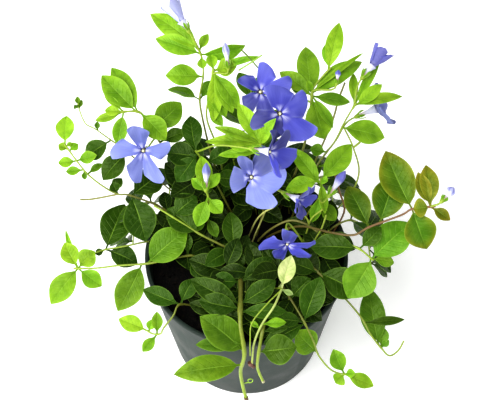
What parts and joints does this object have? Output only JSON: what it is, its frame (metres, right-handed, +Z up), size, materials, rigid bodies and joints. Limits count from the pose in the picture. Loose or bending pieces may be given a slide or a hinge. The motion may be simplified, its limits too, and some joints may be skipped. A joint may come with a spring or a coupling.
{
  "type": "potted lesser periwinkle",
  "caption": "Lesser periwinkle with leafy trailing and upright stems, violet-blue and pale flowers and furled buds, growing in a round tapered plastic nursery pot.",
  "frame": {"origin": "centre of the pot's flat underside, on the surface that the pot stands on", "axes": "+Z up along the pot's axis, +X to the right and +Y away from a viewer at the front of the plant"},
  "size_m": [0.2109, 0.1725, 0.1914],
  "materials": {
    "pot_plastic": "satin",
    "potting_soil": "matte",
    "leaf_mature": "satin",
    "leaf_mid": "satin",
    "leaf_young": "satin",
    "leaf_tinged": "satin",
    "petal_violet": "matte",
    "petal_pale": "matte",
    "petal_bud": "matte"
  },
  "bodies": {
    "root": {"bud_blue": "petal_pale", "bud_far_right": "petal_bud", "bud_high": "petal_bud", "bud_purple": "petal_violet", "bud_right_open": "petal_violet", "bud_tiny": "petal_violet", "bud_white": "petal_bud", "flower_centre": "petal_pale", "flower_front": "petal_violet", "flower_left": "petal_pale", "flower_low_side": "petal_violet", "flower_right_side": "petal_pale", "flower_side": "petal_violet", "flower_top": "petal_violet", "flower_upper_right": "petal_violet", "pot": "pot_plastic", "shoot_back_1": "leaf_mature", "shoot_back_2": "leaf_mature", "shoot_back_3": "leaf_mature", "shoot_back_4": "leaf_mid", "shoot_back_5": "leaf_mature", "shoot_back_6": "leaf_mature", "shoot_back_7": "leaf_mature", "shoot_bud_shoot": "leaf_young", "shoot_centre_yellow": "leaf_young", "shoot_dark_left_centre": "leaf_mature", "shoot_front_right": "leaf_mid", "shoot_front_stem": "leaf_mid", "shoot_hanging_group": "leaf_young", "shoot_left_high_cluster": "leaf_mid", "shoot_left_round_leaves": "leaf_mature", "shoot_left_shoot": "leaf_mid", "shoot_left_thin_shoot": "leaf_mid", "shoot_left_trailing": "leaf_mid", "shoot_lower_left": "leaf_young", "shoot_pale_arch": "leaf_young", "shoot_right_inner_bright": "leaf_mid", "shoot_right_middle": "leaf_mid", "shoot_right_narrow_fan": "leaf_young", "shoot_right_shoot": "leaf_tinged", "shoot_right_trailing": "leaf_mid", "shoot_second_cut_stem": "leaf_mid", "shoot_small_bud_shoot": "leaf_young", "shoot_thick_cut_stem": "leaf_mature", "shoot_upper_right_fan": "leaf_mid", "soil": "potting_soil"}
  },
  "joints": []
}
